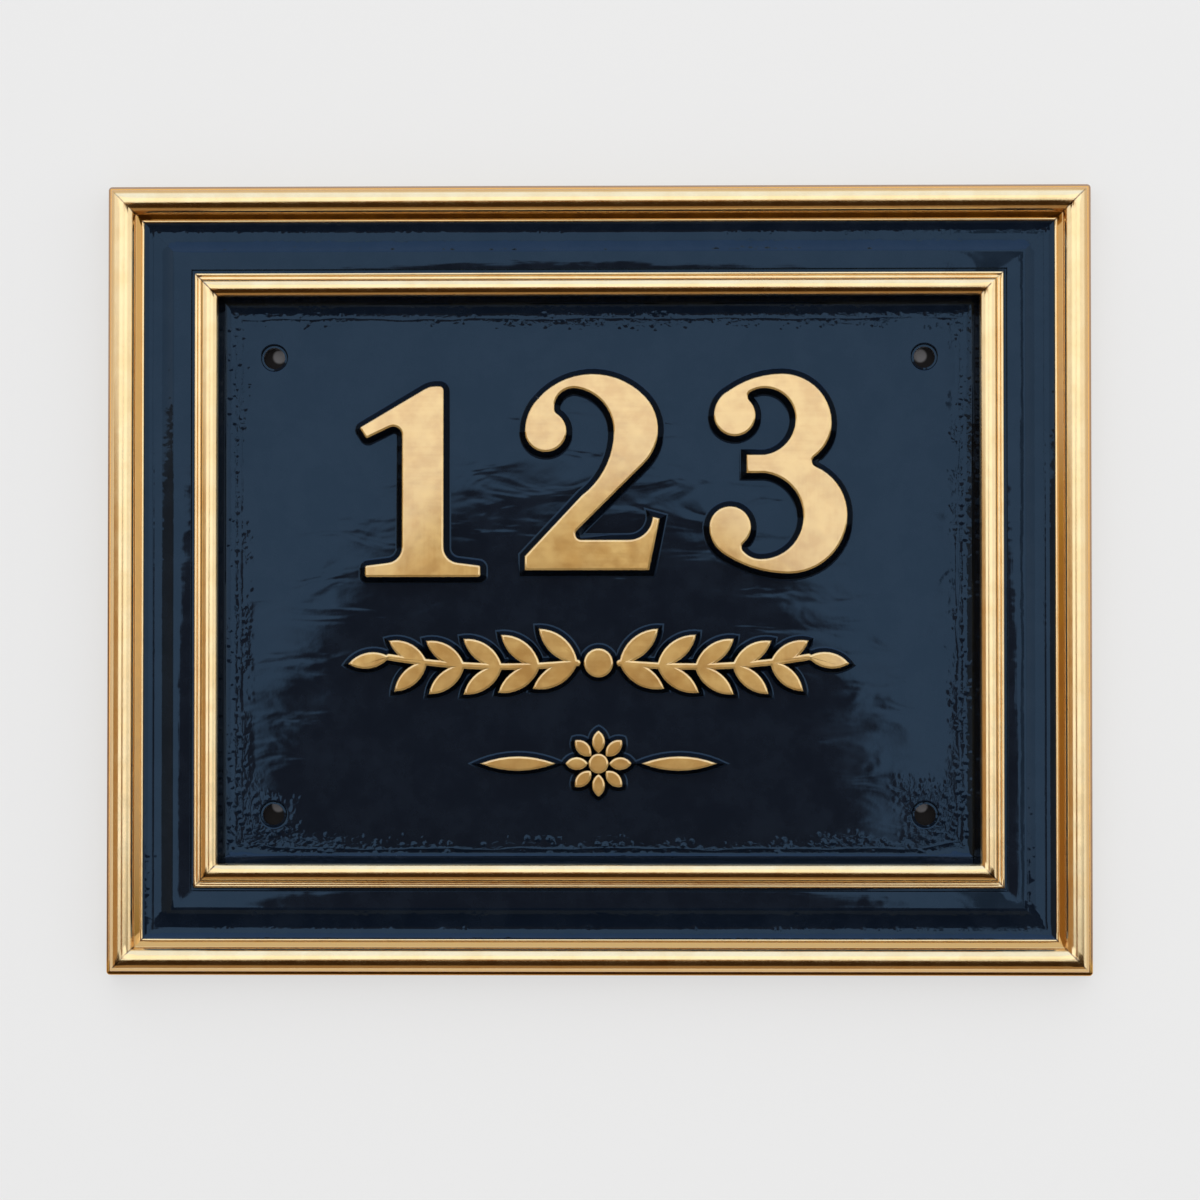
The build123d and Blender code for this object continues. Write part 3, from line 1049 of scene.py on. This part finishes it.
    def flatten_panel(self, mesh: bpy.types.Mesh) -> None:
        """Point the normals on the panel's flat straight out, so that its long faces reflect evenly.

        Args:
            mesh: The casting's mesh.
        """
        normals = [corner.vector.copy() for corner in mesh.corner_normals]
        for polygon in mesh.polygons:
            ends = zip(polygon.loop_indices, polygon.vertices)
            level = {corner: self.on_flat(mesh.vertices[index].co) for corner, index in ends}
            if polygon.normal.y > -0.8 and not all(level.values()):
                continue
            for corner in filter(level.get, level):
                normals[corner] = Vector((0, -1, 0))
        mesh.normals_split_custom_set(normals)

    def zone(self, centre: Vector, normal: Vector) -> Zone:
        """Return the zone that a face belongs to.

        Args:
            centre: The face's middle.
            normal: The way that it faces.

        Returns:
            The zone.
        """
        inset, height = self.inset(centre), -centre.y / MM
        border_end = self.border[-1][0]
        if normal.y > self.edge_on or height < self.recess_height and 1 < inset < border_end:
            return Zone.BACK
        if abs(normal.y) < self.edge_on and self.at_bore(centre):
            return Zone.BORE
        inner = self.gilt_inner[0] < inset < self.gilt_inner[1] and height > self.gilt_floor
        if inset < self.gilt_outer or inner:
            return Zone.GILT_BORDER
        top = self.figure_top if centre.z > self.figure_line * MM else self.ornament_top
        if inset > border_end and height > top - self.rim_round * self.gilt_rim:
            return Zone.GILT_RELIEF
        # Painted shade: steep faces inside the border take the darker enamel.
        steep = normal.y > -0.75 and inset > self.gilt_inner[1] - 1
        return Zone.RECESS if steep else Zone.ENAMEL


class FootLine:
    """One closed line round raised work or a hole, with the way out on to the panel at each point of it."""

    steepest_mitre = 0.25
    closest = 0.75
    ring_shares = (1 / 3, 2 / 3, 1.0)
    neighbours = 6
    search = 2.6
    gap_share = 0.38
    narrowing = 0.85
    most_rounds = 80

    def __init__(
        self, mesh: bmesh.types.BMesh, vertices: list[bmesh.types.BMVert], sunk: bool = False
    ) -> None:
        """Work out the mitred way out at each vertex.

        Args:
            mesh: The casting.
            vertices: The line's vertices, in order round it.
            sunk: Whether the line runs round a hole, whose wall faces away from the panel.
        """
        self.vertices = vertices
        self.count = len(vertices)
        ends = [(vertices[index], vertices[(index + 1) % self.count]) for index in range(self.count)]
        self.lengths = [(end.co - start.co).length for start, end in ends]
        self.steps = [(end.co - start.co).normalized() for start, end in ends]
        outs = [Vector((step.z, 0, -step.x)) for step in self.steps]
        walls = [mesh.edges.get(pair).link_faces[0].normal for pair in ends]
        if (sum(out.dot(wall) for out, wall in zip(outs, walls)) < 0) != sunk:
            outs = [-out for out in outs]
        self.ways = []
        for index in range(self.count):
            before, after = outs[index - 1], outs[index]
            self.ways.append((before + after) / max(1 + before.dot(after), self.steepest_mitre))
        self.widths = [0.0] * self.count

    def set_widths(self, width: float, tree: kdtree.KDTree, owners: list[tuple["FootLine", int]]) -> None:
        """Set how far the strip spreads at each vertex, less where it would run into itself or another.

        Args:
            width: How far it spreads where there is room.
            tree: Every foot vertex of the casting.
            owners: The line and the index that each point of the tree belongs to.
        """
        for index, vertex in enumerate(self.vertices):
            room = width
            for place, number, gap in tree.find_range(vertex.co, self.search * width):
                line, other = owners[number]
                apart = abs(other - index)
                near = line is self and min(apart, self.count - apart) <= self.neighbours
                if not near and (place - vertex.co).dot(self.ways[index]) > 0:
                    room = min(room, self.gap_share * gap)
            self.widths[index] = room
        self.ease_widths()

    def ease_widths(self) -> None:
        """Narrow the strip in its notches until no stretch of its outer line turns back on itself."""
        for _ in range(self.most_rounds):
            tight = False
            for index in range(self.count):
                after = (index + 1) % self.count
                spread = self.ways[index] * self.widths[index] - self.ways[after] * self.widths[after]
                if spread.dot(self.steps[index]) > self.closest * self.lengths[index]:
                    self.widths[index] *= self.narrowing
                    self.widths[after] *= self.narrowing
                    tight = True
            if not tight:
                break

    def point(self, index: int, share: float, rise: float, draft: float) -> Vector:
        """Return a point of the strip, on a curve that is tangent to the wall and to the panel.

        Args:
            index: The vertex that it starts from.
            share: 0 on the wall, 1 on the panel.
            rise: How far the strip climbs the wall, as a share of its width.
            draft: How far the wall leans back for each unit of its height.

        Returns:
            The point.
        """
        foot, way, width = self.feet[index], self.ways[index], self.widths[index]
        lift = width * rise
        top = foot - Vector((0, lift, 0)) - way * (lift * draft)
        return top * (1 - share) ** 2 + foot * (2 * share * (1 - share)) + (foot + way * width) * share**2

    def build(self, mesh: bmesh.types.BMesh, rise: float, draft: float) -> None:
        """Add the strip's faces, and move the wall's foot up to where the strip starts.

        Args:
            mesh: The casting.
            rise: How far the strip climbs the wall, as a share of its width.
            draft: How far the wall leans back for each unit of its height.
        """
        self.feet = [vertex.co.copy() for vertex in self.vertices]
        places = range(self.count)
        rings = [self.vertices]
        for share in self.ring_shares:
            rings.append([mesh.verts.new(self.point(index, share, rise, draft)) for index in places])
        for index, vertex in enumerate(self.vertices):
            vertex.co = self.point(index, 0.0, rise, draft)
        for inner, outer in zip(rings, rings[1:]):
            for index in places:
                after = (index + 1) % self.count
                mesh.faces.new((inner[index], inner[after], outer[after], outer[index]))


def turned(facing: Place | Vector, front: str) -> Place:
    """Return the rotation that turns an object's front axis one way and keeps its Y axis up."""
    return tuple(Vector(facing).to_track_quat(front, "Y").to_euler())


@dataclass(frozen=True)
class Softbox:
    """A rectangular lamp, sized and placed by its middle and what it faces."""

    name: str
    middle: Place
    facing: Place
    width: float
    height: float
    radiance: float

    def build(self) -> None:
        """Make the lamp, which the camera and the gloss don't see."""
        lamp = bpy.data.lights.new(self.name, "AREA")
        lamp.shape = "RECTANGLE"
        lamp.size = self.width
        lamp.size_y = self.height
        lamp.energy = self.radiance * math.pi * self.width * self.height
        holder = bpy.data.objects.new(self.name, lamp)
        bpy.context.scene.collection.objects.link(holder)
        holder.location = self.middle
        holder.rotation_euler = turned(self.facing, "-Z")
        holder.visible_camera = False
        holder.visible_glossy = False


@dataclass(frozen=True)
class Card:
    """A flag or reflector that shows in the gloss of the object, and in nothing else."""

    name: str
    middle: Place
    facing: Place
    width: float
    height: float
    colour: Colour = (0.036, 0.017, 0.005)
    soft: Point | None = None

    def build(self) -> None:
        """Make the card, as an ellipse that fades out at its edge where it is soft."""
        card = add_plane(self.name, 2, self.middle, turned(self.facing, "Z"))
        card.scale = (self.width / 2, self.height / 2, 1)
        graph = Graph.material(self.name)
        shader = graph.add("Emission", {"Color": (*self.colour, 1)})
        if self.soft:
            reach = graph.add("VectorMath", {0: graph.place()}, operation="LENGTH").outputs["Value"]
            clear = graph.add("BsdfTransparent", {})
            share = graph.remap(reach, *self.soft)
            shader = graph.add("MixShader", {0: share, 1: clear.outputs[0], 2: shader.outputs[0]})
        card.data.materials.append(graph.close(shader))
        card.visible_camera = False
        card.visible_diffuse = False
        card.visible_transmission = False
        card.visible_shadow = False


@dataclass
class Studio:
    """A pale wall and floor, soft lamps, cards, and the camera at the photograph's angle."""

    wall_colour: Colour = (0.82, 0.82, 0.82)
    # Painted shade: the wall behind the plaque is dark so that the screw holes read dark, and a paler spot
    # behind each hole is painted light.
    painted_shade_colour: Colour = (0.035, 0.032, 0.032)
    covered: Point = (0.120, 0.095)
    painted_light_colour: Colour = (0.34, 0.33, 0.34)
    painted_light_place: Point = (0.0831, 0.0582)
    painted_light_reach: Point = (0.0020, 0.0013)
    evenness: float = 0.68
    wall_gap: float = 0.0004
    wall_size: float = 6.0
    floor_drop: float = 0.55
    fill: Colour = (0.64, 0.64, 0.64)
    backdrop: Colour = (1.0, 1.0, 1.0)
    eye: Place = (0.0338, -1.25, -0.0426)
    target: Place = (0.0002, 0.0, -0.0050)
    lens: float = 144.95

    def build(self) -> None:
        """Make the wall, the floor, the world, the lamps, the cards and the camera."""
        self.build_wall()
        self.build_floor()
        self.build_world()
        for prop in self.lamps() + self.cards():
            prop.build()
        self.build_camera()

    def lamps(self) -> list[Softbox]:
        """Return the lamps: a wide one in front, one overhead, one at the right and one behind."""
        return [
            Softbox("front", (0.15, -1.6, 0.53), (0.0, 1.0, 0.0), 2.7, 1.42, 0.70),
            Softbox("overhead", (0.0, -0.85, 1.30), (0.0, 0.0, -1.0), 2.6, 1.5, 0.8),
            Softbox("side_right", (1.5, -0.8, 0.2), (-1.0, 0.0, 0.0), 1.5, 1.8, 0.7),
            Softbox("rear", (0.5, 1.6, 0.9), (-0.25, -1.0, -0.5), 1.6, 1.2, 1.0),
        ]

    def cards(self) -> list[Card]:
        """Return the cards: dark below, before the camera and at the left, and pale overhead."""
        down, front = (0.0, 0.0, 1.0), (0.0, 1.0, 0.0)
        return [
            Card("below", (0.0, -3.15, -0.53), down, 8.0, 5.70),
            Card("near_floor", (0.0, -0.16, -0.53), down, 8.0, 0.28, (0.32, 0.20, 0.10)),
            Card("low", (0.0, -1.7, -0.40), front, 8.0, 0.44),
            Card("front", (0.15, -1.8, 0.56), front, 2.8, 1.50, (1.25, 1.25, 1.25)),
            Card(
                "behind_camera", (-0.058, -1.5, -0.09), front, 0.40, 0.44, (0.20, 0.08, 0.02), (0.95, 0.82)
            ),
            Card("left", (-1.2, -0.80, -0.235), (1.0, 0.0, 0.0), 1.60, 0.71, (0.36, 0.21, 0.09)),
            Card("right_post", (0.196, -1.5, 0.05), front, 0.052, 0.70, (0.38, 0.36, 0.33)),
            Card("overhead", (0.0, -0.80, 1.25), (0.0, 0.0, -1.0), 3.0, 1.6, (0.96, 1.12, 1.42)),
        ]

    def seen(self, graph: Graph) -> Socket:
        """Return 1 where the camera looks, directly or in a reflection, and 0 for light that scatters."""
        path = graph.add("LightPath", {}).outputs
        direct = graph.math("MAXIMUM", path["Is Camera Ray"], path["Is Glossy Ray"])
        return graph.math("MAXIMUM", direct, path["Is Transmission Ray"])

    def build_wall(self) -> None:
        """Make the wall just behind the plaque, which can be seen through and lit through from behind."""
        middle = (0, self.wall_gap, self.wall_size / 2 - self.floor_drop)
        wall = add_plane("wall", self.wall_size, middle, UPRIGHT_TURN)
        graph = Graph.material("wall_paint")
        seen = graph.add("NewGeometry", {}).outputs
        across, _, up = graph.add("SeparateXYZ", {0: seen["Position"]}).outputs
        # Painted shade behind the plaque, with a painted light spot behind each screw hole.
        beside = graph.math("GREATER_THAN", graph.math("ABSOLUTE", across), self.covered[0])
        over = graph.math("GREATER_THAN", graph.math("ABSOLUTE", up), self.covered[1])
        open_wall = graph.math("MAXIMUM", beside, over)
        to_painted_light = [
            graph.math("SUBTRACT", graph.math("ABSOLUTE", way), middle)
            for way, middle in zip((across, up), self.painted_light_place)
        ]
        reach = graph.math("SQRT", graph.math("ADD", *(graph.product(way, way) for way in to_painted_light)))
        painted_shade_and_light = graph.blend(graph.remap(reach, *self.painted_light_reach), self.painted_shade_colour, self.painted_light_colour)
        shade = graph.blend(open_wall, painted_shade_and_light, self.wall_colour)
        paint = graph.add("BsdfDiffuse", {"Color": shade})
        even = graph.add("Emission", {"Color": shade})
        share = graph.product(self.seen(graph), self.evenness, open_wall)
        paint = graph.add("MixShader", {0: share, 1: paint.outputs[0], 2: even.outputs[0]})
        clear = graph.add("BsdfTransparent", {})
        surface = {0: seen["Backfacing"], 1: paint.outputs[0], 2: clear.outputs[0]}
        wall.data.materials.append(graph.close(graph.add("MixShader", surface)))
        wall.visible_diffuse = False
        wall.visible_shadow = False

    def build_floor(self) -> None:
        """Make the floor below the plaque, out of the camera's view."""
        floor = add_plane("floor", self.wall_size, (0, -self.wall_size / 2, -self.floor_drop))
        graph = Graph.material("floor_paint")
        paint = graph.add("BsdfDiffuse", {"Color": (*self.wall_colour, 1)})
        floor.data.materials.append(graph.close(paint))

    def build_world(self) -> None:
        """Make an even fill, with a pale backdrop for the camera and for reflections."""
        world = bpy.data.worlds.new("studio")
        bpy.context.scene.world = world
        graph = Graph(world, "OutputWorld")
        fill = graph.add("Background", {"Color": (*self.fill, 1)})
        backdrop = graph.add("Background", {"Color": (*self.backdrop, 1)})
        parts = {0: self.seen(graph), 1: fill.outputs[0], 2: backdrop.outputs[0]}
        graph.close(graph.add("MixShader", parts))

    def build_camera(self) -> None:
        """Place the camera where the photograph was taken from."""
        camera = bpy.data.cameras.new("camera")
        camera.lens = self.lens
        holder = bpy.data.objects.new("camera", camera)
        bpy.context.scene.collection.objects.link(holder)
        holder.location = self.eye
        holder.rotation_euler = turned(Vector(self.target) - Vector(self.eye), "-Z")
        bpy.context.scene.camera = holder


def main() -> None:
    """Build the casting and the studio, and report each piece."""
    logging.basicConfig(level=logging.INFO, format="%(name)s: %(message)s")
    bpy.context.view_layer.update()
    casting = Casting()
    body = casting.build()
    half = (casting.half_width, casting.half_height)
    finishes = {
        Zone.ENAMEL: Enamel("blue_enamel", *half).build(),
        # Painted shade: the darker enamel of the steep walls.
        Zone.RECESS: Enamel(
            "painted_shade_enamel", *half, deep=(0.0010, 0.0014, 0.0022), worn=(0.0014, 0.0020, 0.0030)
        ).build(),
        Zone.GILT_BORDER: Gilding("border_gilding", *half).build(),
        Zone.GILT_RELIEF: Gilding(
            "relief_gilding", *half, bright=(0.78, 0.53, 0.19), warm=(0.65, 0.395, 0.12), metal=0.62,
            lacquer=2.2, gloss=(0.13, 0.20), lacquer_gloss=0.07, cloud_size=0.0050,
            cloud_range=(0.36, 0.68), draw_height=0.0, dimple_size=0.006, dimple_height=0.00006,
        ).build(),
        Zone.BACK: CastBack().build(),
        Zone.BORE: BareMetal().build(),
    }
    casting.dress(body, finishes)
    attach(body, BODY)
    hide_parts(NODE)
    LOG.info("%s: %d faces", body.name, len(body.data.polygons))
    Studio().build()
    bpy.context.scene.view_settings.view_transform = "Standard"


if __name__ == "__main__":
    main()
